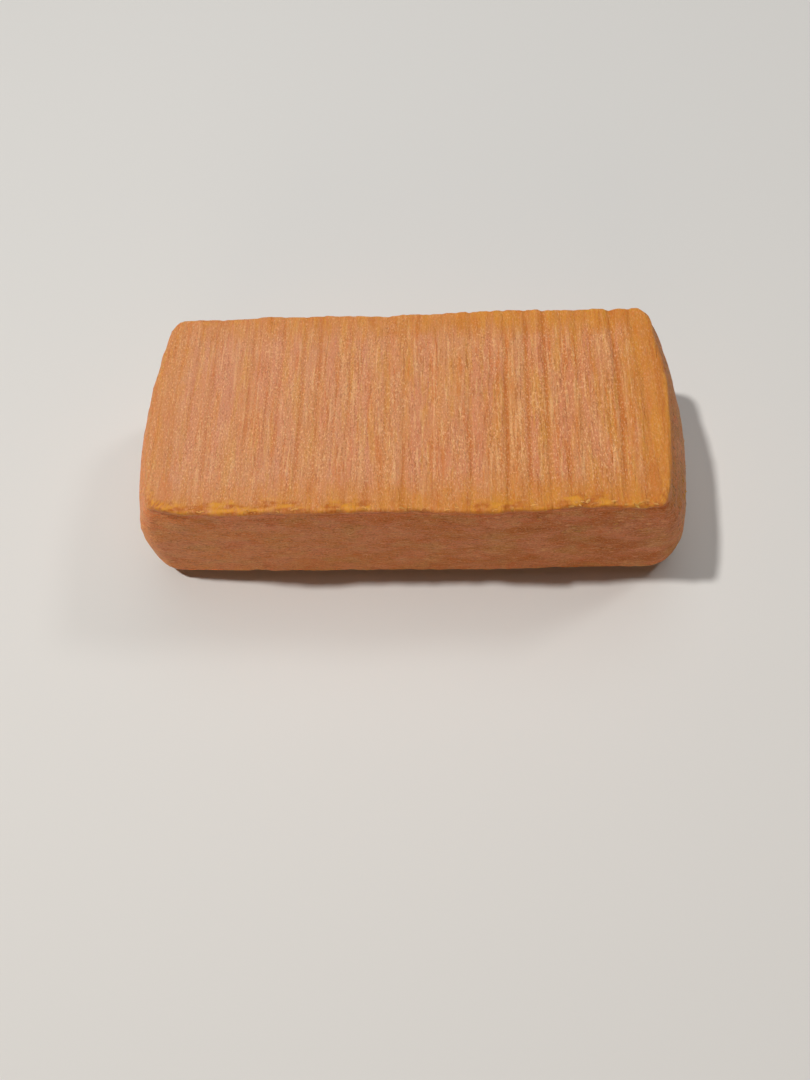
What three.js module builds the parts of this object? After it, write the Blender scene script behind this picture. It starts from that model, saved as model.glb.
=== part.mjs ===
// A whole loaf of washed-rind soft cheese: an oblong brick two and a half times as long as it is wide.
// The top rim is narrower than the belly, and the ends and long sides swell. Straight grooves cross the
// top and the base where the loaf lay on a rack, and a ragged bead of rind runs round the top rim.
// Millimetres. The origin is the middle of the base, +X runs along the loaf, +Y to its back and +Z up.
import * as THREE from "three";
import { mergeVertices } from "three/addons/utils/BufferGeometryUtils.js";

// Overall size at the widest level, and how much of it is the swell of the ends, long sides and top.
const LENGTH = 122;
const WIDTH = 48.9;
const HEIGHT = 33.9;
const END_SWELL = 3;
const SIDE_SWELL = 0.8;
const TOP_SWELL = 0.3;

// The power by which the swell of the ends dies out towards the middle, which keeps the grooves straight.
const END_SWELL_FADE = 6;

// The block inside the swells.
const HALF_X = LENGTH / 2 - END_SWELL;
const HALF_Y = WIDTH / 2 - SIDE_SWELL;
const RIM_HEIGHT = HEIGHT - TOP_SWELL;

// Radii of the rims, and of the four upright corners in plan.
const TOP_RIM = { ends: 0.9, front: 0.75, back: 1.2 };
const FOOT_RIM = 4.9;
const CORNER_TOP = { front: 1.2, back: 2.2 };
const CORNER_FOOT = 5.2;
const CORNER_BLEND = 8;

// How far each wall leans in, from the level of the belly up to the top rim.
const BELLY_LEVEL = 0.2;
const LEAN_IN = { left: 7.8, right: 7.4, front: 0.75, back: 0.8 };

// Grooves across the top and base. They get deeper towards the right end, differ in strength, and grow
// fainter and stronger again along their own length.
const GROOVE_COUNT = 27;
const GROOVE_MARGIN = 4;
const GROOVE_JITTER = 0.2;
const GROOVE_HALF_WIDTH = 1.1;
const GROOVE_DEPTH = { left: 0.16, right: 0.62, base: 0.3 };
const GROOVE_FAINTEST = 0.35;
const GROOVE_FADE = { faintest: 0.5, length: 14 };

// The slow rise and fall of the top.
const WAVE = { depth: 0.3, length: 9, reach: 40 };

// Where the back rim rises above or sinks below its even line, and how far from the rim that dies out.
const BACK_SWAYS = [
  { at: -46, reach: 6, by: 0.3 },
  { at: -29, reach: 8, by: 0.35 },
  { at: 1, reach: 18, by: -0.5 },
  { at: 35, reach: 9, by: -0.15 },
];
const SWAY_FADE = 9;

// Where the front rim stands further out or further in than its even line.
const FRONT_SWAYS = [
  { at: -59, reach: 13, by: -0.7 },
  { at: -41, reach: 16, by: 0.65 },
  { at: 19, reach: 16, by: 0.5 },
];

// The ragged bead of rind on the top rims, and the crease below it.
const BEAD_HEIGHT = { front: 0.5, back: 0.22, ends: 0.12 };
const BEAD_WIDTH = 1.1;
const BEAD_RAGGED = { length: 4.5, lowest: 0.3, highest: 1.4 };
const CREASE = { depth: 0.25, below: 2.4, width: 1.1 };

// Shallow dents of the walls.
const DENT = { depth: 0.5, length: 17 };

// Rows of the surface grid across and up the loaf, and how they crowd towards the rims. The rows along
// the loaf follow the grooves, with END_ROWS more at each end.
const ROWS_ACROSS = 14;
const ROWS_UP = 12;
const CROWDING = 0.82;
const END_ROWS = 4;

// The distance from a rim over which the direction of the relief turns from cap to wall, and the upward
// part of that direction over which the relief of the caps takes over.
const TURN_REACH = 3;
const CAP_TURN = { from: 0.3, to: 0.8 };

// Where each kind of relief reads the noise, and how far apart the grooves read it.
const SEED = { groove: 3, wave: 5, bead: 11, dent: 17, crease: 23 };
const TRACK_GAP = 10;
const HASH = { x: 374761393, y: 668265263, z: 1274126177, stir: 1103515245 };

const RIND = { color: 0xcc8c5f, roughness: 0.55, metalness: 0 };

const clamp01 = (t) => Math.min(1, Math.max(0, t));
const smooth = (t) => clamp01(t) ** 2 * (3 - 2 * clamp01(t));
const mix = (a, b, t) => a + (b - a) * t;

// A fixed random number from 0 to 1 for each point of a lattice.
function lattice(i, j, k) {
  let h = Math.imul(i, HASH.x) + Math.imul(j, HASH.y) + Math.imul(k, HASH.z);
  h = Math.imul(h ^ (h >>> 13), HASH.stir);
  return ((h ^ (h >>> 16)) >>> 0) / 0xffffffff;
}

// Smooth noise from 0 to 1, with bumps one unit apart.
function noise(x, y, z) {
  const [i, j, k] = [x, y, z].map(Math.floor);
  const [s, t, u] = [smooth(x - i), smooth(y - j), smooth(z - k)];
  const edge = (dj, dk) => mix(lattice(i, j + dj, k + dk), lattice(i + 1, j + dj, k + dk), s);
  return mix(mix(edge(0, 0), edge(1, 0), t), mix(edge(0, 1), edge(1, 1), t), u);
}

// Where the grooves lie along the loaf, and how strongly each is pressed.
function makeGrooves() {
  const first = GROOVE_MARGIN - HALF_X;
  const pitch = (-2 * first) / (GROOVE_COUNT - 1);
  return Array.from({ length: GROOVE_COUNT }, (_, i) => ({
    x: first + pitch * (i + GROOVE_JITTER * (2 * lattice(i, 1, 0) - 1)),
    strength: mix(GROOVE_FAINTEST, 1, lattice(i, 2, 0)),
    track: i * TRACK_GAP,
  }));
}

const GROOVES = makeGrooves();

// How deeply the grooves are pressed at a place of the top or base, from 0 to 1.
function groovePress(x, y) {
  const pressed = GROOVES.map(({ x: middle, strength, track }) => {
    const profile = 1 - smooth(Math.abs(x - middle) / GROOVE_HALF_WIDTH);
    const fade = mix(GROOVE_FADE.faintest, 1, noise(track, y / GROOVE_FADE.length, SEED.groove));
    return profile * strength * fade;
  });
  return Math.max(...pressed);
}

// How much of a point belongs to an end of the loaf rather than a long side, from 0 to 1.
const endShare = (toEnd, toSide) => smooth(0.5 + (toSide - toEnd) / CORNER_BLEND);

// A value that changes from the front, across the loaf to the back, and round to the ends.
function aroundRim({ front, back, ends }, y, share) {
  return mix(mix(front, back, smooth(0.5 + y / HALF_Y)), ends, share);
}

// What the sways of a rim add up to at a place along it.
function swayAt(sways, x) {
  const swell = ({ at, reach, by }) => by * (1 - smooth(Math.abs(x - at) / reach));
  return sways.reduce((sum, sway) => sum + swell(sway), 0);
}

// How far a point of the unit square is drawn in, so that the square becomes a quarter disc.
function toDisc(p, q) {
  const away = Math.hypot(p, q);
  return away > 0 ? Math.max(p, q) / away : 1;
}

// The loaf without its relief. (a, b, c) is a point on the surface of the cube from -1 to 1.
function plainLoaf(a, b, c) {
  let [x, y, z] = [a * HALF_X, b * HALF_Y, ((c + 1) / 2) * RIM_HEIGHT];
  const [toEnd, toSide] = [HALF_X - Math.abs(x), HALF_Y - Math.abs(y)];

  // Round the rims of the top and base.
  const isUpper = c > 0;
  const rim = isUpper ? aroundRim(TOP_RIM, y, endShare(toEnd, toSide)) : FOOT_RIM;
  const toCap = isUpper ? RIM_HEIGHT - z : z;
  const [out, up] = [clamp01(1 - Math.min(toEnd, toSide) / rim), clamp01(1 - toCap / rim)];
  const rimShrink = rim * (1 - toDisc(out, up));
  const rimIn = up > 0 ? rimShrink * out : 0;
  z += (isUpper ? -1 : 1) * rimShrink * up;

  // Round the upright corners in plan.
  const level = z / RIM_HEIGHT;
  const cornerTop = y > 0 ? CORNER_TOP.back : CORNER_TOP.front;
  const corner = mix(CORNER_FOOT, cornerTop, level ** 2);
  const [outX, outY] = [clamp01(1 - toEnd / corner), clamp01(1 - toSide / corner)];
  const cornerShrink = corner * (1 - toDisc(outX, outY));
  const frontLean = LEAN_IN.front - swayAt(FRONT_SWAYS, x);
  x -= Math.sign(x) * cornerShrink * outX;
  y -= Math.sign(y) * cornerShrink * outY;

  // Lean the walls in above the belly.
  const rise = clamp01((level - BELLY_LEVEL) / (1 - BELLY_LEVEL)) ** 2;
  const leanX = (x > 0 ? LEAN_IN.right : LEAN_IN.left) * rise;
  const leanY = (y > 0 ? LEAN_IN.back : frontLean) * rise;
  x *= 1 - (leanX + rimIn) / HALF_X;
  y *= 1 - (leanY + rimIn) / HALF_Y;

  // Swell the ends, the long sides and the top.
  const [u, v] = [x / HALF_X, y / HALF_Y];
  const endSwell = END_SWELL * (1 - v * v) * Math.abs(a) ** END_SWELL_FADE;
  const sideSwell = SIDE_SWELL * (1 - u * u);
  const topSwell = TOP_SWELL * (1 - u * u) * (1 - v * v) * level * level;
  return [x + endSwell * u, y + sideSwell * v, z + topSwell];
}

// The outward direction at a point of the cube, turning smoothly across each rim.
function outward(cube) {
  const halves = [HALF_X, HALF_Y, RIM_HEIGHT / 2];
  const pull = cube.map((t, axis) => {
    const toFace = (1 - Math.abs(t)) * halves[axis];
    return Math.sign(t) * clamp01(1 - toFace / TURN_REACH) ** 2;
  });
  return new THREE.Vector3(...pull).normalize().toArray();
}

// Relief of the top: grooves and waves.
function topRelief(x, y, press) {
  const depth = mix(GROOVE_DEPTH.left, GROOVE_DEPTH.right, clamp01(x / LENGTH + 0.5) ** 2);
  const wave = WAVE.depth * (noise(x / WAVE.length, y / WAVE.reach, SEED.wave) - 0.5);
  return wave - depth * press;
}

// Relief of the back rim's rises and hollows.
function swayRelief(x, cube) {
  const fromRim = Math.hypot((1 - cube[1]) * HALF_Y, ((1 - cube[2]) * RIM_HEIGHT) / 2);
  return swayAt(BACK_SWAYS, x) * smooth(1 - fromRim / SWAY_FADE);
}

// Relief of the walls: dents, and the crease below the bead of rind.
function wallRelief(x, y, z) {
  const bumps = noise(x / DENT.length, y / DENT.length, z / DENT.length + SEED.dent);
  const ragged = noise(x / BEAD_RAGGED.length, y / BEAD_RAGGED.length, SEED.crease);
  const fromCrease = (RIM_HEIGHT - z - CREASE.below) / CREASE.width;
  return DENT.depth * (0.5 - bumps) - CREASE.depth * ragged * Math.exp(-(fromCrease ** 2));
}

// Relief of the bead of rind on the top rims.
function beadRelief(point, cube) {
  const [x, y, z] = point;
  const [toEnd, toSide] = [(1 - Math.abs(cube[0])) * HALF_X, (1 - Math.abs(cube[1])) * HALF_Y];
  const toRim = Math.max(RIM_HEIGHT - z, Math.min(toEnd, toSide));
  const height = aroundRim(BEAD_HEIGHT, y, endShare(toEnd, toSide));
  const bumps = noise(x / BEAD_RAGGED.length, y / BEAD_RAGGED.length, SEED.bead);
  const ragged = mix(BEAD_RAGGED.lowest, BEAD_RAGGED.highest, bumps);
  return height * ragged * Math.exp(-((toRim / BEAD_WIDTH) ** 2));
}

// The height of the relief above the plain loaf, along the outward direction.
function relief(point, normal, cube) {
  const [x, y, z] = point;
  const press = groovePress(cube[0] * HALF_X, y);
  const cap = normal[2] > 0 ? topRelief(x, y, press) : -GROOVE_DEPTH.base * press;
  const capShare = smooth((Math.abs(normal[2]) - CAP_TURN.from) / (CAP_TURN.to - CAP_TURN.from));
  const wall = wallRelief(x, y, z) * (1 - Math.abs(normal[2]));
  return cap * capShare + wall + beadRelief(point, cube) + swayRelief(x, cube);
}

// Where the rows of the surface grid stand along the loaf, from -1 to 1: rows close together at the
// ends, then both shoulders and the bottom of each groove.
function rowsAlong() {
  const shoulders = [-GROOVE_HALF_WIDTH, 0, GROOVE_HALF_WIDTH];
  const rows = GROOVES.flatMap(({ x }) => shoulders.map((shift) => x + shift));
  const room = { left: HALF_X + rows.at(0), right: HALF_X - rows.at(-1) };
  for (let i = 0; i < END_ROWS; i += 1) {
    const part = (i / END_ROWS) ** 2;
    rows.push(room.left * part - HALF_X, HALF_X - room.right * part);
  }
  return rows.sort((a, b) => a - b).map((x) => x / HALF_X);
}

// Rows from -1 to 1 that stand closer together near both rims.
const crowded = (t) => t + (CROWDING * Math.sin(Math.PI * t)) / Math.PI;

// The loaf as one closed surface: a box whose grid is moved out onto the loaf.
function loafGeometry() {
  const rows = rowsAlong();
  const columns = rows.length - 1;
  const geometry = new THREE.BoxGeometry(2, 2, 2, columns, ROWS_ACROSS, ROWS_UP);
  const position = geometry.getAttribute("position");
  for (let i = 0; i < position.count; i += 1) {
    const column = Math.round(((position.getX(i) + 1) / 2) * columns);
    const cube = [rows[column], crowded(position.getY(i)), crowded(position.getZ(i))];
    const point = plainLoaf(...cube);
    const normal = outward(cube);
    const height = relief(point, normal, cube);
    position.setXYZ(i, ...point.map((value, axis) => value + normal[axis] * height));
  }
  geometry.deleteAttribute("normal");
  geometry.deleteAttribute("uv");
  const closed = mergeVertices(geometry, 1e-4);
  closed.computeVertexNormals();
  return closed;
}

const loaf = new THREE.Mesh(loafGeometry(), new THREE.MeshStandardMaterial(RIND));
loaf.name = "cheese_loaf";

const part = new THREE.Group();
part.add(loaf);

export default part;
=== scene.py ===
# A whole oblong loaf of washed-rind soft cheese on a plain pale floor.
# The loaf's fine surface is made from the same named sizes as the solid part, in millimetres, and its
# objects are in metres, in the part's frame: +X along the loaf, +Y to its back and +Z up.
import math
from typing import NamedTuple

import bpy
import numpy as np
from mathutils import Matrix, Vector


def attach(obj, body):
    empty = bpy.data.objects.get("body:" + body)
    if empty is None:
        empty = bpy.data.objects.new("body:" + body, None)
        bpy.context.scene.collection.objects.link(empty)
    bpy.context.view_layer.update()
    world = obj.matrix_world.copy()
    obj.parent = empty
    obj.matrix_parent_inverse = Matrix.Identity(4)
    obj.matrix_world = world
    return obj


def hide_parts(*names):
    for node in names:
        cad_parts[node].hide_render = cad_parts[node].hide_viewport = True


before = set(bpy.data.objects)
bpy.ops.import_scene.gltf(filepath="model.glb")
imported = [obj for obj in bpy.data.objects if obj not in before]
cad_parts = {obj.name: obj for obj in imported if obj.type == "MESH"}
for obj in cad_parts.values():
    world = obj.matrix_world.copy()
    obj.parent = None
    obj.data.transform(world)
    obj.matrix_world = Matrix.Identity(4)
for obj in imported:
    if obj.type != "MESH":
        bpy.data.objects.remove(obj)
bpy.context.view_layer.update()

MM = 0.001

# Overall size at the widest level, and how much of it is the swell of the ends, long sides and top.
LENGTH = 122
WIDTH = 48.9
HEIGHT = 33.9
END_SWELL = 3
SIDE_SWELL = 0.8
TOP_SWELL = 0.3
END_SWELL_FADE = 6

# The block inside the swells.
HALF_X = LENGTH / 2 - END_SWELL
HALF_Y = WIDTH / 2 - SIDE_SWELL
RIM_HEIGHT = HEIGHT - TOP_SWELL

# Radii of the rims, and of the four upright corners in plan.
TOP_RIM = {"ends": 0.9, "front": 0.75, "back": 1.2}
FOOT_RIM = 4.9
CORNER_TOP = {"front": 1.2, "back": 2.2}
CORNER_FOOT = 5.2
CORNER_BLEND = 8

# How far each wall leans in, from the level of the belly up to the top rim.
BELLY_LEVEL = 0.2
LEAN_IN = {"left": 7.8, "right": 7.4, "front": 0.75, "back": 0.8}

# Grooves across the top and base, as in the solid.
GROOVE_COUNT = 27
GROOVE_MARGIN = 4
GROOVE_JITTER = 0.2
GROOVE_HALF_WIDTH = 1.1
GROOVE_DEPTH = {"left": 0.16, "right": 0.62, "base": 0.3}
GROOVE_FAINTEST = 0.35
GROOVE_FADE = {"faintest": 0.5, "length": 14}

# The slow rise and fall of the top.
WAVE = {"depth": 0.3, "length": 9, "reach": 40}

# Where the back rim rises or sinks, and where the front rim stands further out or in.
BACK_SWAYS = [
    {"at": -46, "reach": 6, "by": 0.3},
    {"at": -29, "reach": 8, "by": 0.35},
    {"at": 1, "reach": 18, "by": -0.5},
    {"at": 35, "reach": 9, "by": -0.15},
]
SWAY_FADE = 9
FRONT_SWAYS = [
    {"at": -59, "reach": 13, "by": -0.7},
    {"at": -41, "reach": 16, "by": 0.65},
    {"at": 19, "reach": 16, "by": 0.5},
]

# The ragged bead of rind on the top rims, the crease below it, and the dents of the walls.
BEAD_HEIGHT = {"front": 0.5, "back": 0.22, "ends": 0.12}
BEAD_WIDTH = 1.1
BEAD_RAGGED = {"length": 4.5, "lowest": 0.3, "highest": 1.4}
CREASE = {"depth": 0.25, "below": 2.4, "width": 1.1}
DENT = {"depth": 0.5, "length": 17}

# Where the relief turns from cap to wall, and where each kind of relief reads the noise.
TURN_REACH = 3
CAP_TURN = {"from": 0.3, "to": 0.8}
SEED = {"groove": 3, "wave": 5, "bead": 11, "dent": 17, "crease": 23}
TRACK_GAP = 10
HASH = {"x": 374761393, "y": 668265263, "z": 1274126177, "stir": 1103515245}
WORD = 0xFFFFFFFF


class Layer(NamedTuple):
    """A layer of fine bumps: its height, and the distances between them across and along their run."""

    height: float
    across: float
    along: float
    seed: int


# Fine relief that only this surface has: threads along the grooves, and the grain of the walls.
TOP_THREADS = [
    Layer(height=0.36, across=1.9, along=24, seed=31),
    Layer(height=0.32, across=0.9, along=14, seed=37),
    Layer(height=0.12, across=0.6, along=2.4, seed=39),
]
WALL_GRAIN = [
    Layer(height=0.34, across=2.8, along=5, seed=41),
    Layer(height=0.24, across=1.4, along=2.2, seed=43),
    Layer(height=0.16, across=0.7, along=1.0, seed=45),
]

# How strong the threads and streaks of the top are at its ends.
STREAKS = {"left": 0.36, "right": 1}

# The lip of loose strands of rind along the top rim. Its middle wanders up and down across the rim,
# and it comes and goes along it. It is strongest at the front.
LIP = {"height": 0.28, "width": 1.5, "inward": 0.7, "other_rims": 0.35, "seed": 53}
LIP_WANDER = [{"by": 1.5, "length": 9}, {"by": 1.0, "length": 2.6}]
LIP_GAPS = {"length": 4.2, "from": 0.2, "to": 0.7, "thinnest": 0.15, "seed": 55}
LIP_STRANDS = [
    Layer(height=0.34, across=0.75, along=2.6, seed=61),
    Layer(height=0.26, across=0.45, along=1.2, seed=67),
]
LIP_CRACK = {"depth": 0.22, "below": 2.1, "width": 0.5, "other_rims": 0.3}

# How much the height of the lip's strands changes their colour.
STRAND_CONTRAST = 1.6

# Small wobbles of all the top rims.
RIM_WOBBLE = {"height": 0.34, "length": 2.4, "fade": 2.2, "seed": 71}

# Rows of the fine surface grid, and how they crowd towards the rims.
ROWS_ALONG = 408
ROWS_ACROSS = 60
ROWS_UP = 52
CROWDING = {"along": 0.12, "across": 0.66, "up": 0.62}


class Grain(NamedTuple):
    """Noise in a material: the distances between its bumps across and along their run."""

    across: float
    along: float
    seed: int


class Mark(NamedTuple):
    """A kind of streak or patch of colour. It comes in over a part of its noise, up to its share."""

    colour: tuple
    across: float
    along: float
    comes_in: tuple
    share: float
    seed: int


class Patches(NamedTuple):
    """Patches over which something gets stronger, from its least strength up to 1."""

    across: float
    along: float
    comes_in: tuple
    least: float
    seed: int


# All noise in the materials.
NOISE_DETAIL = 2.0
NOISE_ROUGHNESS = 0.55

# The top, from its ground colour up. Colours are as on screen, from 0 to 255, and later ones are painted
# over earlier ones.
TOP_BASE = (205, 144, 106)
TOP_MARKS = [
    Mark((207, 142, 86), across=4.0, along=40, comes_in=(0.40, 0.60), share=0.9, seed=3),
    Mark((206, 132, 106), across=2.6, along=26, comes_in=(0.48, 0.62), share=0.75, seed=7),
    Mark((208, 150, 66), across=1.5, along=14, comes_in=(0.52, 0.66), share=0.7, seed=11),
    Mark((202, 112, 52), across=1.3, along=13, comes_in=(0.54, 0.68), share=0.8, seed=13),
    Mark((234, 188, 138), across=0.62, along=9, comes_in=(0.53, 0.68), share=0.72, seed=17),
    Mark((156, 86, 44), across=0.6, along=7, comes_in=(0.54, 0.70), share=0.65, seed=23),
]
TOP_GROOVE = {"colour": (184, 96, 38), "comes_in": (0.2, 0.8), "left": 0.25, "right": 0.95}
TOP_BORDER = {"colour": (201, 130, 50), "comes_in": (9.0, 1.5), "left": 0.3, "right": 0.9}
BORDER_WANDER = {"by": 7.0, "grain": Grain(across=3, along=3, seed=41)}
BORDER_MARKS = [
    Mark((212, 146, 52), across=1.8, along=16, comes_in=(0.48, 0.62), share=0.7, seed=71),
    Mark((180, 98, 40), across=1.4, along=14, comes_in=(0.50, 0.66), share=0.7, seed=73),
]
TOP_RIGHT = {"colour": (204, 132, 58), "left": 0, "right": 0.4}
# Dark grains of the rind, and pale specks that are painted glints of light on its moist grain. Both come
# in patches and are fainter on the border.
TOP_GRAINS_AND_GLINTS = [
    Mark((144, 80, 44), across=0.26, along=0.55, comes_in=(0.50, 0.72), share=0.5, seed=27),
    Mark((242, 196, 146), across=0.25, along=0.6, comes_in=(0.50, 0.72), share=0.6, seed=47),
]
GRAIN_AND_GLINT_PATCHES = Patches(across=3, along=10, comes_in=(0.30, 0.62), least=0.55, seed=53)
GRAINS_AND_GLINTS_ON_BORDER = 0.45

# The walls, in the same way. The marks of the right end are on that end alone.
WALL_BASE = (232, 146, 82)
WALL_RIGHT = {"colour": (190, 100, 38), "left": 0, "right": 0.85}
# Near the top rim the walls are painted redder, as a glow of light coming through the rind from the lit
# top.
WALL_UPPER_GLOW = {"colour": (230, 128, 64), "comes_in": (12.0, 1.0), "share": 0.45}
WALL_MARKS = [
    Mark((232, 148, 104), across=7, along=12, comes_in=(0.42, 0.60), share=0.62, seed=5),
    Mark((216, 152, 86), across=4, along=8, comes_in=(0.48, 0.66), share=0.55, seed=29),
    Mark((218, 114, 56), across=3, along=5, comes_in=(0.52, 0.70), share=0.6, seed=33),
    Mark((252, 190, 130), across=0.5, along=2.0, comes_in=(0.54, 0.70), share=0.5, seed=31),
    Mark((176, 90, 44), across=0.5, along=1.8, comes_in=(0.54, 0.72), share=0.5, seed=35),
    Mark((120, 58, 28), across=0.36, along=1.4, comes_in=(0.66, 0.76), share=0.6, seed=37),
]
RIGHT_MARKS = [
    Mark((204, 122, 40), across=3, along=5, comes_in=(0.34, 0.60), share=0.8, seed=63),
    Mark((186, 122, 36), across=4, along=3, comes_in=(0.46, 0.64), share=0.5, seed=67),
    Mark((112, 58, 26), across=5, along=0.6, comes_in=(0.54, 0.70), share=0.7, seed=65),
]
WALL_GRAINS = [
    Mark((156, 80, 38), across=0.3, along=0.45, comes_in=(0.50, 0.72), share=0.55, seed=57),
    Mark((250, 200, 140), across=0.28, along=0.4, comes_in=(0.52, 0.74), share=0.5, seed=59),
]

# The lip's strands, from the gaps between them to their crests, and the painted shade in the crack below
# the lip.
LIP_COLOURS_AND_SHADE = {"gap": (178, 98, 34), "crest": (214, 150, 50), "crack": (160, 84, 38)}
LIP_CRESTS = (0.3, 0.7)
LIP_SHOWS = {"comes_in": (0.08, 0.75), "share": 0.85}
LIP_BREAKS = Patches(across=0.8, along=0.8, comes_in=(0.35, 0.6), least=0.35, seed=89)
CRACK_SHADE_SHOWS = {"comes_in": (0.3, 0.9), "share": 0.35}

# The rind's sheen, the light below its surface, and the bumps too fine for the mesh.
RIND_SPECULAR = 0.15
RIND_ROUGHNESS = {"least": 0.4, "range": 0.25, "grain": Grain(across=1.2, along=1.2, seed=59)}
RIND_GLOW = {"weight": 0.4, "radius": (1.0, 0.3, 0.1), "depth": 4.0}
BUMP_DEPTH = 0.3
BUMP_GRAINS = {"share": 0.6, "detail": 1.0, "grain": Grain(across=0.42, along=0.6, seed=27)}
BUMP_THREADS = Grain(across=0.5, along=4, seed=61)
BUMP_LEVEL = Grain(across=0.45, along=1.0, seed=37)


class Flakes(NamedTuple):
    """A group of flakes: how many, between which two corners of the cube, and their turn and curl."""

    count: int
    low: tuple
    high: tuple
    turn: float
    curl: float


# Small curled flakes of dried rind: along the front rim, more of them at its right end, then on the
# front, the back, the left end and the right end.
FLAKES = [
    Flakes(26, low=(-0.95, -1, 1), high=(0.98, -0.97, 1), turn=0.5, curl=0.3),
    Flakes(10, low=(0.62, -1, 1), high=(0.99, -0.96, 1), turn=0.8, curl=0.6),
    Flakes(12, low=(0.45, -1, 0.3), high=(0.95, -1, 0.8), turn=0.9, curl=0.2),
    Flakes(12, low=(-0.9, 1, -0.4), high=(0.9, 1, 0.8), turn=0.9, curl=0.2),
    Flakes(6, low=(-1, -0.8, -0.4), high=(-1, 0.8, 0.9), turn=0.9, curl=0.2),
    Flakes(10, low=(1, -0.9, -0.2), high=(1, 0.5, 0.9), turn=1.2, curl=0.3),
]

# The range of a flake's length and width, and its thickness. Its tips are cut off a little, and its
# middle is sunk into the rind by a part of its curl.
FLAKE_LENGTH = (0.7, 1.8)
FLAKE_WIDTH = (0.3, 0.55)
FLAKE_THICKNESS = 0.13
FLAKE_TIP = 0.02
FLAKE_SINK = 0.3
FLAKE_CURL = (0.3, 1)
FLAKE_SEED = 19
FLAKE_STATIONS = 6
FLAKE_SIDES = 6
FLAKE_COLOUR = (238, 170, 90)
FLAKE_MARKS = TOP_MARKS[2:4]
FLAKE_ROUGHNESS = {"least": 0.45, "range": 0.2, "grain": Grain(across=1.2, along=1.2, seed=83)}
FLAKE_BUMP = {"depth": 0.05, "grain": Grain(across=0.4, along=0.8, seed=79)}

# The floor, with its colours as linear values and the stretch over which they change, in metres. The far
# colour is painted shade, where the light falls off behind the loaf.
FLOOR_HALF_SIZE = 1500
FLOOR_COLOURS = {"near": (0.705, 0.698, 0.682, 1), "far": (0.655, 0.655, 0.645, 1)}
FLOOR_CHANGES = (-0.09, 0.11)
FLOOR_ROUGHNESS = 0.9
FLOOR_SPECULAR = 0.1

# The camera stands close above the front of the loaf and is turned a little about its own axis.
CAMERA_TARGET = Vector((-1.63, -15.39, 0)) * MM
CAMERA_DISTANCE = 198.6 * MM
CAMERA_ELEVATION = math.radians(66.21)
CAMERA_AZIMUTH = math.radians(10.56)
CAMERA_ROLL = math.radians(-10.34)
CAMERA_LENS = 28.33
CAMERA_SENSOR = 36
CAMERA_CLIP = 0.01


class Light(NamedTuple):
    """A round area light: the direction it comes from, its distance and size in metres, its power."""

    name: str
    direction: tuple
    distance: float
    size: float
    power: float
    colour: tuple


# A small strong light from the upper left makes the shadow, and the others fill it in.
LIGHTS = [
    Light("key", (-0.44, 0.045, 1.0), distance=0.9, size=0.05, power=5.4, colour=(1, 0.97, 0.93)),
    Light("right", (0.785, 0.46, 1.0), distance=0.9, size=0.16, power=1.2, colour=(1, 0.98, 0.95)),
    Light("overhead", (0.1, 0.34, 1.0), distance=1.0, size=0.9, power=2.7, colour=(1, 0.99, 0.98)),
    Light("front", (-0.1, -1.0, 0.28), distance=1.0, size=0.5, power=1.25, colour=(1, 0.74, 0.48)),
]
SKY = {"colour": (0.97, 0.98, 1.0, 1), "strength": 0.02}


def clamp01(t):
    """The nearest value from 0 to 1."""
    return np.clip(t, 0, 1)


def smooth(t):
    """A smooth step from 0 at 0 to 1 at 1."""
    t = clamp01(t)
    return t * t * (3 - 2 * t)


def mix(a, b, t):
    """A value on the way from a, at 0, to b, at 1."""
    return a + (b - a) * t


def lattice(i, j, k):
    """A fixed random number from 0 to 1 for each point of a lattice."""
    h = (i * HASH["x"] + j * HASH["y"] + k * HASH["z"]) & WORD
    h = ((h ^ (h >> 13)) * HASH["stir"]) & WORD
    return (h ^ (h >> 16)) / WORD


def noise(x, y, z):
    """Smooth noise from 0 to 1, with bumps one unit apart."""
    x, y, z = np.broadcast_arrays(*(np.asarray(t, float) for t in (x, y, z)))
    i, j, k = (np.floor(t).astype(np.int64) for t in (x, y, z))
    s, t, u = smooth(x - i), smooth(y - j), smooth(z - k)

    def edge(dj, dk):
        return mix(lattice(i, j + dj, k + dk), lattice(i + 1, j + dj, k + dk), s)

    return mix(mix(edge(0, 0), edge(1, 0), t), mix(edge(0, 1), edge(1, 1), t), u)


def end_share(to_end, to_side):
    """How much of a point belongs to an end of the loaf rather than a long side, from 0 to 1."""
    return smooth(0.5 + (to_side - to_end) / CORNER_BLEND)


def around_rim(sizes, y, share):
    """A value that changes from the front, across the loaf to the back, and round to the ends."""
    return mix(mix(sizes["front"], sizes["back"], smooth(0.5 + y / HALF_Y)), sizes["ends"], share)


def sway_at(sways, x):
    """What the sways of a rim add up to at places along it."""
    return sum(sway["by"] * (1 - smooth(abs(x - sway["at"]) / sway["reach"])) for sway in sways)


def to_disc(p, q):
    """How far a point of the unit square is drawn in, so that the square becomes a quarter disc."""
    away = np.hypot(p, q)
    return np.where(away > 0, np.maximum(p, q) / np.maximum(away, 1e-12), 1)


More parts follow.
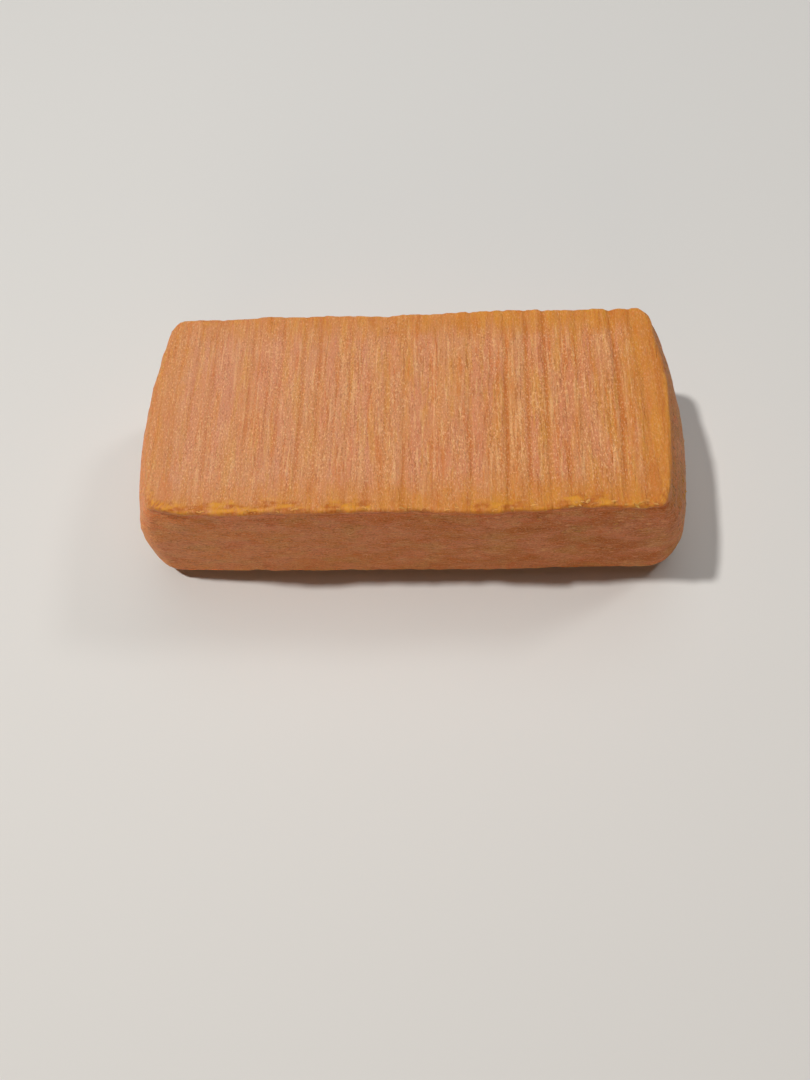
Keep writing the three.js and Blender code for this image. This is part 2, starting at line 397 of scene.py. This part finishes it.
def plain_loaf(a, b, c):
    """The loaf without its relief, at points of the surface of the cube from -1 to 1."""
    x, y, z = a * HALF_X, b * HALF_Y, (c + 1) / 2 * RIM_HEIGHT
    to_end, to_side = HALF_X - abs(x), HALF_Y - abs(y)

    is_upper = c > 0
    rim = np.where(is_upper, around_rim(TOP_RIM, y, end_share(to_end, to_side)), FOOT_RIM)
    to_cap = np.where(is_upper, RIM_HEIGHT - z, z)
    out, up = clamp01(1 - np.minimum(to_end, to_side) / rim), clamp01(1 - to_cap / rim)
    rim_shrink = rim * (1 - to_disc(out, up))
    rim_in = np.where(up > 0, rim_shrink * out, 0)
    z = z + np.where(is_upper, -1, 1) * rim_shrink * up

    level = z / RIM_HEIGHT
    corner_top = np.where(y > 0, CORNER_TOP["back"], CORNER_TOP["front"])
    corner = mix(CORNER_FOOT, corner_top, level**2)
    out_x, out_y = clamp01(1 - to_end / corner), clamp01(1 - to_side / corner)
    corner_shrink = corner * (1 - to_disc(out_x, out_y))
    front_lean = LEAN_IN["front"] - sway_at(FRONT_SWAYS, x)
    x = x - np.sign(x) * corner_shrink * out_x
    y = y - np.sign(y) * corner_shrink * out_y

    rise = clamp01((level - BELLY_LEVEL) / (1 - BELLY_LEVEL)) ** 2
    lean_x = np.where(x > 0, LEAN_IN["right"], LEAN_IN["left"]) * rise
    lean_y = np.where(y > 0, LEAN_IN["back"], front_lean) * rise
    x = x * (1 - (lean_x + rim_in) / HALF_X)
    y = y * (1 - (lean_y + rim_in) / HALF_Y)

    u, v = x / HALF_X, y / HALF_Y
    end_swell = END_SWELL * (1 - v * v) * abs(a) ** END_SWELL_FADE
    side_swell = SIDE_SWELL * (1 - u * u)
    top_swell = TOP_SWELL * (1 - u * u) * (1 - v * v) * level * level
    return x + end_swell * u, y + side_swell * v, z + top_swell


def outward(a, b, c):
    """The outward direction at points of the cube, turning smoothly across each rim."""
    pulls = []
    for t, half in ((a, HALF_X), (b, HALF_Y), (c, RIM_HEIGHT / 2)):
        pulls.append(np.sign(t) * clamp01(1 - (1 - abs(t)) * half / TURN_REACH) ** 2)
    pulls = np.stack(pulls, -1)
    return pulls / np.linalg.norm(pulls, axis=-1, keepdims=True)


def groove_press(x, y):
    """How deeply the grooves are pressed at a place of the top or base, from 0 to 1."""
    first = GROOVE_MARGIN - HALF_X
    pitch = -2 * first / (GROOVE_COUNT - 1)
    press = np.zeros_like(x)
    for i in range(GROOVE_COUNT):
        middle = first + pitch * (i + GROOVE_JITTER * (2 * lattice(i, 1, 0) - 1))
        strength = mix(GROOVE_FAINTEST, 1, lattice(i, 2, 0))
        profile = 1 - smooth(abs(x - middle) / GROOVE_HALF_WIDTH)
        fade = noise(i * TRACK_GAP, y / GROOVE_FADE["length"], SEED["groove"])
        press = np.maximum(press, profile * strength * mix(GROOVE_FADE["faintest"], 1, fade))
    return press


def top_relief(x, y, press):
    """Relief of the top: grooves and waves."""
    depth = mix(GROOVE_DEPTH["left"], GROOVE_DEPTH["right"], clamp01(x / LENGTH + 0.5) ** 2)
    wave = WAVE["depth"] * (noise(x / WAVE["length"], y / WAVE["reach"], SEED["wave"]) - 0.5)
    return wave - depth * press


def sway_relief(x, b, c):
    """Relief of the back rim's rises and hollows."""
    from_rim = np.hypot((1 - b) * HALF_Y, (1 - c) * RIM_HEIGHT / 2)
    return sway_at(BACK_SWAYS, x) * smooth(1 - from_rim / SWAY_FADE)


def wall_relief(x, y, z):
    """Relief of the walls: dents, and the crease below the bead of rind."""
    bumps = noise(x / DENT["length"], y / DENT["length"], z / DENT["length"] + SEED["dent"])
    ragged = noise(x / BEAD_RAGGED["length"], y / BEAD_RAGGED["length"], SEED["crease"])
    from_crease = (RIM_HEIGHT - z - CREASE["below"]) / CREASE["width"]
    return DENT["depth"] * (0.5 - bumps) - CREASE["depth"] * ragged * np.exp(-(from_crease**2))


def rim_distance(z, a, b):
    """How far points are from the top rim, in millimetres along the surface."""
    to_end, to_side = (1 - abs(a)) * HALF_X, (1 - abs(b)) * HALF_Y
    return np.maximum(RIM_HEIGHT - z, np.minimum(to_end, to_side))


def bead_relief(x, y, z, a, b):
    """Relief of the bead of rind on the top rims."""
    to_end, to_side = (1 - abs(a)) * HALF_X, (1 - abs(b)) * HALF_Y
    height = around_rim(BEAD_HEIGHT, y, end_share(to_end, to_side))
    bumps = noise(x / BEAD_RAGGED["length"], y / BEAD_RAGGED["length"], SEED["bead"])
    ragged = mix(BEAD_RAGGED["lowest"], BEAD_RAGGED["highest"], bumps)
    return height * ragged * np.exp(-((rim_distance(z, a, b) / BEAD_WIDTH) ** 2))


def layers(kinds, across, along_1, along_2):
    """The sum of layers of noise that run along two directions and vary across the third."""
    total = 0
    for kind in kinds:
        p, q, r = across / kind.across, along_1 / kind.along, along_2 / kind.along
        total = total + kind.height * (noise(p, q, r + kind.seed) - 0.5)
    return total


def front_share(a, b):
    """How much of a point belongs to the front long side, from 0 to 1."""
    to_end, to_side = (1 - abs(a)) * HALF_X, (1 - abs(b)) * HALF_Y
    return np.where(b < 0, 1 - end_share(to_end, to_side), 0)


def right_share(a, b):
    """How much of a point belongs to the right end, from 0 to 1."""
    to_end, to_side = (1 - abs(a)) * HALF_X, (1 - abs(b)) * HALF_Y
    return np.where(a > 0, end_share(to_end, to_side), 0)


def past_lip(x, y, z, a, b):
    """How far points lie past the lip's wandering middle: positive on the top, negative on the walls."""
    inward = np.minimum((1 - abs(a)) * HALF_X, (1 - abs(b)) * HALF_Y)
    middle = sum(
        kind["by"] * (noise(x / kind["length"], y / kind["length"], LIP["seed"]) - 0.5)
        for kind in LIP_WANDER
    )
    return inward - (RIM_HEIGHT - z) - LIP["inward"] - middle


def lip_share(x, y, past, a, b):
    """How much of the lip there is, from 0 to 1."""
    gaps = noise(x / LIP_GAPS["length"], y / LIP_GAPS["length"], LIP_GAPS["seed"])
    strength = smooth((gaps - LIP_GAPS["from"]) / (LIP_GAPS["to"] - LIP_GAPS["from"]))
    strength = mix(LIP_GAPS["thinnest"], 1, strength) * mix(LIP["other_rims"], 1, front_share(a, b))
    return strength * np.exp(-((past / LIP["width"]) ** 2))


def lip_strands(x, y, z, a, b):
    """The lip's loose strands, which run along the rim, from about -0.4 to 0.4."""
    at_end = end_share((1 - abs(a)) * HALF_X, (1 - abs(b)) * HALF_Y)
    along = mix(x, y, at_end)
    across = z - mix(abs(y), abs(x), at_end)
    return layers(LIP_STRANDS, across, along, 0 * x)


def lip_crack(past, a, b):
    """The crack below the lip."""
    strength = mix(LIP_CRACK["other_rims"], 1, front_share(a, b))
    from_crack = (past + LIP_CRACK["below"]) / LIP_CRACK["width"]
    return LIP_CRACK["depth"] * strength * np.exp(-(from_crack**2))


def rim_wobble(x, y, from_rim):
    """Small uneven bumps of the top rims."""
    bumps = noise(x / RIM_WOBBLE["length"], y / RIM_WOBBLE["length"], RIM_WOBBLE["seed"]) - 0.5
    return RIM_WOBBLE["height"] * bumps * smooth(1 - from_rim / RIM_WOBBLE["fade"])


def loaf_surface(a, b, c):
    """The loaf's fine surface at points of the cube, in millimetres, and what its colours depend on."""
    x, y, z = plain_loaf(a, b, c)
    normal = outward(a, b, c)
    press = groove_press(a * HALF_X, y)
    cap_share = smooth((abs(normal[..., 2]) - CAP_TURN["from"]) / (CAP_TURN["to"] - CAP_TURN["from"]))
    wall_share = 1 - abs(normal[..., 2])

    cap = np.where(normal[..., 2] > 0, top_relief(x, y, press), -GROOVE_DEPTH["base"] * press)
    height = cap * cap_share + wall_relief(x, y, z) * wall_share
    height = height + bead_relief(x, y, z, a, b) + sway_relief(x, b, c)

    rightward = smooth(0.5 + x / LENGTH)
    threads = layers(TOP_THREADS, x, y, z) * mix(STREAKS["left"], STREAKS["right"], rightward)
    wall_grain = layers(WALL_GRAIN, z, x, y)
    cap_grain = np.where(c > 0, threads, -abs(threads))
    height = height + mix(wall_grain, cap_grain, cap_share)

    past = past_lip(x, y, z, a, b)
    share = np.where(c > 0, lip_share(x, y, past, a, b), 0)
    strands = lip_strands(x, y, z, a, b)
    crack = np.where(c > 0, lip_crack(past, a, b), 0)
    from_rim = np.where(c > 0, rim_distance(z, a, b), RIM_HEIGHT)
    height = height + share * (LIP["height"] + strands) - crack + rim_wobble(x, y, from_rim)

    points = np.stack([x, y, z], -1) + normal * height[..., None]
    looks = {
        "cap": cap_share,
        "groove": press * cap_share,
        "to_rim": from_rim,
        "lip": share,
        "strand": clamp01(0.5 + STRAND_CONTRAST * strands),
        # Where the crack below the lip is, for the painted shade in it.
        "crack": clamp01(crack / LIP_CRACK["depth"]),
        "right": right_share(a, b) * (1 - cap_share),
        "rightward": rightward,
    }
    return points, looks


def crowded(rows, strength):
    """Rows from -1 to 1 that stand closer together near both ends."""
    t = np.linspace(-1, 1, rows + 1)
    return t + strength * np.sin(np.pi * t) / np.pi


def box_grid(counts):
    """The grid on the surface of a box: where each point stands in the grid, and the faces."""
    nx, ny, nz = counts
    sides = []
    for axis, last in enumerate(counts):
        others = [n for n in range(3) if n != axis]
        for end in (0, last):
            p, q = np.meshgrid(*(np.arange(counts[n] + 1) for n in others), indexing="ij")
            place = [None, None, None]
            place[axis] = np.full_like(p, end)
            place[others[0]], place[others[1]] = p, q
            code = (place[0] * (ny + 1) + place[1]) * (nz + 1) + place[2]
            corners = [code[:-1, :-1], code[1:, :-1], code[1:, 1:], code[:-1, 1:]]
            quads = np.stack(corners, -1).reshape(-1, 4)
            turns_in = (end == 0) != (axis == 1)
            sides.append(quads[:, ::-1] if turns_in else quads)
    codes, faces = np.unique(np.concatenate(sides), return_inverse=True)
    i, rest = np.divmod(codes, (ny + 1) * (nz + 1))
    j, k = np.divmod(rest, nz + 1)
    return (i, j, k), faces.reshape(-1, 4)


def mesh_object(name, points, faces, material):
    """A smooth-shaded object from points in millimetres and faces."""
    mesh = bpy.data.meshes.new(name)
    mesh.from_pydata((points * MM).tolist(), [], [list(face) for face in faces])
    mesh.validate()
    mesh.shade_smooth()
    mesh.materials.append(material)
    made = bpy.data.objects.new(name, mesh)
    bpy.context.scene.collection.objects.link(made)
    return made


def make_loaf(material):
    """The loaf as one closed mesh, with what its colours depend on as attributes."""
    (i, j, k), faces = box_grid((ROWS_ALONG, ROWS_ACROSS, ROWS_UP))
    a = crowded(ROWS_ALONG, CROWDING["along"])[i]
    b = crowded(ROWS_ACROSS, CROWDING["across"])[j]
    c = crowded(ROWS_UP, CROWDING["up"])[k]
    points, looks = loaf_surface(a, b, c)
    loaf = mesh_object("loaf", points, faces, material)
    for name, values in looks.items():
        stored = loaf.data.attributes.new(name, "FLOAT", "POINT")
        stored.data.foreach_set("value", values.astype(np.float32))
    return loaf


def add(tree, kind, inputs, **settings):
    """Adds a node. An input is a value or another node's output."""
    node = tree.nodes.new(kind)
    for name, value in settings.items():
        setattr(node, name, value)
    for name, value in inputs.items():
        if isinstance(value, bpy.types.NodeSocket):
            tree.links.new(value, node.inputs[name])
        else:
            node.inputs[name].default_value = value
    return node


def maths(tree, operation, a, b=0.0, c=0.0):
    """A sum, product or the like of numbers or outputs."""
    return add(tree, "ShaderNodeMath", {0: a, 1: b, 2: c}, operation=operation).outputs[0]


def step(tree, value, low, high):
    """A smooth step from 0 at low to 1 at high."""
    inputs = {"Value": value, "From Min": low, "From Max": high}
    return add(tree, "ShaderNodeMapRange", inputs, interpolation_type="SMOOTHSTEP").outputs[0]


def blend(tree, share, a, b):
    """Mixes two colours. The share of the second is a number or an output."""
    return add(tree, "ShaderNodeMix", {0: share, 6: a, 7: b}, data_type="RGBA").outputs[2]


def attribute(tree, name):
    """One of the loaf's attributes."""
    return add(tree, "ShaderNodeAttribute", {}, attribute_name=name).outputs["Fac"]


def paint(red, green, blue):
    """A colour from its red, green and blue on screen, from 0 to 255."""
    parts = [value / 255 for value in (red, green, blue)]
    linear = [((v + 0.055) / 1.055) ** 2.4 if v > 0.04045 else v / 12.92 for v in parts]
    return (*linear, 1.0)


def over(tree, colour, kind, share):
    """Lays a kind's own colour over another."""
    return blend(tree, share, colour, paint(*kind["colour"]))


def grain(tree, kind, runs_on="top", detail=NOISE_DETAIL):
    """Noise that runs along Y on the top, or level on the walls."""
    place = add(tree, "ShaderNodeTexCoord", {}).outputs["Object"]
    short, long = 1 / (kind.across * MM), 1 / (kind.along * MM)
    scale = (short, long, long) if runs_on == "top" else (long, long, short)
    inputs = {0: place, 1: scale, 2: (kind.seed, kind.seed, kind.seed)}
    moved = add(tree, "ShaderNodeVectorMath", inputs, operation="MULTIPLY_ADD").outputs[0]
    inputs = {"Vector": moved, "Scale": 1.0, "Detail": detail, "Roughness": NOISE_ROUGHNESS}
    return add(tree, "ShaderNodeTexNoise", inputs).outputs["Fac"]


def marks(tree, colour, kinds, runs_on, strength=1.0):
    """Paints kinds of marks over a colour. The strength is a number or an output."""
    for kind in kinds:
        share = step(tree, grain(tree, kind, runs_on), *kind.comes_in)
        share = maths(tree, "MULTIPLY", maths(tree, "MULTIPLY", share, kind.share), strength)
        colour = blend(tree, share, colour, paint(*kind.colour))
    return colour


def patchy(tree, kind):
    """A strength that changes from patch to patch."""
    patches = step(tree, grain(tree, kind), *kind.comes_in)
    return maths(tree, "MULTIPLY_ADD", patches, 1 - kind.least, kind.least)


def from_left_to_right(tree, kind):
    """A strength that changes along the loaf."""
    rightward = attribute(tree, "rightward")
    return maths(tree, "MULTIPLY_ADD", rightward, kind["right"] - kind["left"], kind["left"])


def shown(tree, name, kind):
    """How strongly a colour shows where an attribute asks for it."""
    share = step(tree, attribute(tree, name), *kind["comes_in"])
    return maths(tree, "MULTIPLY", share, kind["share"])


def border_share(tree):
    """How much of a point of the top belongs to its border, whose inner edge wanders."""
    wander = grain(tree, BORDER_WANDER["grain"])
    place = maths(tree, "MULTIPLY_ADD", wander, BORDER_WANDER["by"], attribute(tree, "to_rim"))
    place = maths(tree, "SUBTRACT", place, BORDER_WANDER["by"] / 2)
    border = step(tree, place, *TOP_BORDER["comes_in"])
    return maths(tree, "MULTIPLY", border, from_left_to_right(tree, TOP_BORDER))


def top_colour(tree):
    """Tan with orange, pink, yellow and cream streaks along the grooves, yellower towards the rims, with
    dark grains and pale painted glints.
    """
    colour = marks(tree, paint(*TOP_BASE), TOP_MARKS, "top", from_left_to_right(tree, STREAKS))
    low = step(tree, attribute(tree, "groove"), *TOP_GROOVE["comes_in"])
    low = maths(tree, "MULTIPLY", low, from_left_to_right(tree, TOP_GROOVE))
    colour = over(tree, colour, TOP_GROOVE, low)
    border = border_share(tree)
    colour = over(tree, colour, TOP_BORDER, border)
    colour = marks(tree, colour, BORDER_MARKS, "top", border)
    colour = over(tree, colour, TOP_RIGHT, from_left_to_right(tree, TOP_RIGHT))
    # The dark grains and the painted glints, fainter on the border and in patches.
    grains = maths(tree, "MULTIPLY_ADD", border, GRAINS_AND_GLINTS_ON_BORDER - 1, 1)
    grains = maths(tree, "MULTIPLY", patchy(tree, GRAIN_AND_GLINT_PATCHES), grains)
    return marks(tree, colour, TOP_GRAINS_AND_GLINTS, "top", grains)


def wall_colour(tree):
    """Brown orange, redder near the top rim as a painted glow, with level streaks, pink and olive
    patches, and small dark cracks.
    """
    colour = over(tree, paint(*WALL_BASE), WALL_RIGHT, from_left_to_right(tree, WALL_RIGHT))
    colour = over(tree, colour, WALL_UPPER_GLOW, shown(tree, "to_rim", WALL_UPPER_GLOW))
    colour = marks(tree, colour, WALL_MARKS, "walls")
    colour = marks(tree, colour, RIGHT_MARKS, "walls", attribute(tree, "right"))
    return marks(tree, colour, WALL_GRAINS, "walls")


def rind_colour(tree):
    """The whole rind: the top, the walls, and the lip between them."""
    colour = blend(tree, attribute(tree, "cap"), wall_colour(tree), top_colour(tree))
    crest = step(tree, attribute(tree, "strand"), *LIP_CRESTS)
    strands = blend(tree, crest, paint(*LIP_COLOURS_AND_SHADE["gap"]), paint(*LIP_COLOURS_AND_SHADE["crest"]))
    share = maths(tree, "MULTIPLY", shown(tree, "lip", LIP_SHOWS), patchy(tree, LIP_BREAKS))
    colour = blend(tree, share, colour, strands)
    # The crack below the lip is painted darker, as shade under the overhanging lip.
    return blend(tree, shown(tree, "crack", CRACK_SHADE_SHOWS), colour, paint(*LIP_COLOURS_AND_SHADE["crack"]))


def rind_bump(tree):
    """Bumps too fine for the mesh: grains, threads on the top and level streaks on the walls."""
    grains = grain(tree, BUMP_GRAINS["grain"], detail=BUMP_GRAINS["detail"])
    level = grain(tree, BUMP_LEVEL, "walls")
    inputs = {0: attribute(tree, "cap"), 2: level, 3: grain(tree, BUMP_THREADS)}
    streaks = add(tree, "ShaderNodeMix", inputs, data_type="FLOAT").outputs[0]
    height = maths(tree, "ADD", maths(tree, "MULTIPLY", grains, BUMP_GRAINS["share"]), streaks)
    inputs = {"Height": height, "Distance": BUMP_DEPTH * MM, "Strength": 1.0}
    return add(tree, "ShaderNodeBump", inputs).outputs["Normal"]


def uneven_roughness(tree, kind):
    """A roughness that changes a little from place to place."""
    return maths(tree, "MULTIPLY_ADD", grain(tree, kind["grain"]), kind["range"], kind["least"])


def new_material(name):
    """A new node material, its tree, and its shader."""
    material = bpy.data.materials.new(name)
    material.use_nodes = True
    return material, material.node_tree, material.node_tree.nodes["Principled BSDF"]


def finish_rind(tree, shader, colour, normal, roughness):
    """Gives a rind material its colour, bumps and satin sheen, and a little light below its surface."""
    tree.links.new(colour, shader.inputs["Base Color"])
    tree.links.new(normal, shader.inputs["Normal"])
    tree.links.new(roughness, shader.inputs["Roughness"])
    shader.inputs["Subsurface Weight"].default_value = RIND_GLOW["weight"]
    shader.inputs["Subsurface Radius"].default_value = RIND_GLOW["radius"]
    shader.inputs["Subsurface Scale"].default_value = RIND_GLOW["depth"] * MM
    shader.inputs["Specular IOR Level"].default_value = RIND_SPECULAR


def rind_material():
    """The washed rind."""
    material, tree, shader = new_material("washed_rind")
    roughness = uneven_roughness(tree, RIND_ROUGHNESS)
    finish_rind(tree, shader, rind_colour(tree), rind_bump(tree), roughness)
    return material


def flake_material():
    """The flakes: the same rind, dried paler."""
    material, tree, shader = new_material("dried_rind")
    colour = marks(tree, paint(*FLAKE_COLOUR), FLAKE_MARKS, "top")
    inputs = {"Height": grain(tree, FLAKE_BUMP["grain"]), "Distance": FLAKE_BUMP["depth"] * MM}
    bump = add(tree, "ShaderNodeBump", inputs).outputs["Normal"]
    finish_rind(tree, shader, colour, bump, uneven_roughness(tree, FLAKE_ROUGHNESS))
    return material


def flake_mesh(root, along, up, length, width, curl):
    """One curled sliver: rings of points along its length, closed to a tip at both ends."""
    across = np.cross(up, along)
    points = []
    for t in np.linspace(-1, 1, FLAKE_STATIONS):
        middle = root + along * (t * length / 2) + up * (curl * (t * t - FLAKE_SINK))
        taper = math.sqrt(1 + FLAKE_TIP - t * t)
        for turn in np.linspace(0, 2 * math.pi, FLAKE_SIDES, endpoint=False):
            wide, thick = math.cos(turn) * width / 2, math.sin(turn) * FLAKE_THICKNESS / 2
            points.append(middle + (across * wide + up * thick) * taper)
    faces = []
    for i in range(FLAKE_STATIONS - 1):
        for j in range(FLAKE_SIDES):
            k = (j + 1) % FLAKE_SIDES
            ring, after = i * FLAKE_SIDES, (i + 1) * FLAKE_SIDES
            faces.append([ring + j, after + j, after + k, ring + k])
    faces.append(list(range(FLAKE_SIDES)))
    faces.append([(FLAKE_STATIONS - 1) * FLAKE_SIDES + j for j in reversed(range(FLAKE_SIDES))])
    return points, faces


def surface_frame(a, b, c):
    """The place of a point of the cube on the fine surface, its outward direction and a level one."""
    cube = [np.array([t], float) for t in (a, b, c)]
    place, _ = loaf_surface(*cube)
    out = outward(*cube)[0]
    level = np.cross((0, 0, 1), out)
    return place[0], out, level / np.linalg.norm(level)


def make_flakes(material):
    """All flakes as one piece, each a closed sliver sunk a little into the rind."""
    random = np.random.default_rng(FLAKE_SEED)
    points, faces = [], []
    for kind in FLAKES:
        for _ in range(kind.count):
            place, out, level = surface_frame(*random.uniform(kind.low, kind.high))
            turn = random.uniform(-kind.turn, kind.turn)
            along = level * math.cos(turn) + np.cross(out, level) * math.sin(turn)
            length, width = random.uniform(*FLAKE_LENGTH), random.uniform(*FLAKE_WIDTH)
            curl = kind.curl * random.uniform(*FLAKE_CURL)
            new_points, new_faces = flake_mesh(place, along, out, length, width, curl)
            faces += [[n + len(points) for n in face] for face in new_faces]
            points += new_points
    return mesh_object("rind_flakes", np.array(points), faces, material)


def make_floor():
    """A plain pale floor, painted a little darker behind the loaf as shade where the light falls off."""
    material, tree, shader = new_material("floor")
    place = add(tree, "ShaderNodeTexCoord", {}).outputs["Object"]
    depth = add(tree, "ShaderNodeSeparateXYZ", {"Vector": place}).outputs["Y"]
    far = step(tree, depth, *FLOOR_CHANGES)
    colour = blend(tree, far, FLOOR_COLOURS["near"], FLOOR_COLOURS["far"])
    tree.links.new(colour, shader.inputs["Base Color"])
    shader.inputs["Roughness"].default_value = FLOOR_ROUGHNESS
    shader.inputs["Specular IOR Level"].default_value = FLOOR_SPECULAR
    corners = np.array([[-1, -1, 0], [1, -1, 0], [1, 1, 0], [-1, 1, 0]], float)
    floor = mesh_object("floor", corners * FLOOR_HALF_SIZE, [[0, 1, 2, 3]], material)


def aim(place, target, roll=0.0):
    """The world matrix of a camera or light at one place that looks at another."""
    back = (Vector(place) - Vector(target)).normalized()
    right = Vector((0, 0, 1)).cross(back).normalized()
    up = back.cross(right)
    turned_right = right * math.cos(roll) + up * math.sin(roll)
    turned_up = up * math.cos(roll) - right * math.sin(roll)
    rotation = Matrix((turned_right, turned_up, back)).transposed().to_4x4()
    return Matrix.Translation(place) @ rotation


def make_camera():
    """The camera at the photograph's viewing angle."""
    level = math.cos(CAMERA_ELEVATION)
    back = Vector((
        math.sin(CAMERA_AZIMUTH) * level,
        -math.cos(CAMERA_AZIMUTH) * level,
        math.sin(CAMERA_ELEVATION),
    ))
    data = bpy.data.cameras.new("camera")
    data.lens = CAMERA_LENS
    data.sensor_width = CAMERA_SENSOR
    data.clip_start = CAMERA_CLIP
    camera = bpy.data.objects.new("camera", data)
    camera.matrix_world = aim(CAMERA_TARGET + back * CAMERA_DISTANCE, CAMERA_TARGET, CAMERA_ROLL)
    bpy.context.scene.collection.objects.link(camera)
    bpy.context.scene.camera = camera


def make_lights():
    """Soft studio light, and a faint sky."""
    for light in LIGHTS:
        data = bpy.data.lights.new(light.name, "AREA")
        data.shape = "DISK"
        data.size = light.size
        data.energy = light.power
        data.color = light.colour
        made = bpy.data.objects.new(light.name, data)
        made.matrix_world = aim(Vector(light.direction).normalized() * light.distance, (0, 0, 0))
        bpy.context.scene.collection.objects.link(made)
    world = bpy.data.worlds.new("studio")
    world.use_nodes = True
    background = world.node_tree.nodes["Background"]
    background.inputs["Color"].default_value = SKY["colour"]
    background.inputs["Strength"].default_value = SKY["strength"]
    bpy.context.scene.world = world


make_camera()
loaf = make_loaf(rind_material())
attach(loaf, "root")
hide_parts("cheese_loaf")
flakes = make_flakes(flake_material())
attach(flakes, "root")
make_floor()
make_lights()
bpy.context.scene.view_settings.view_transform = "Standard"
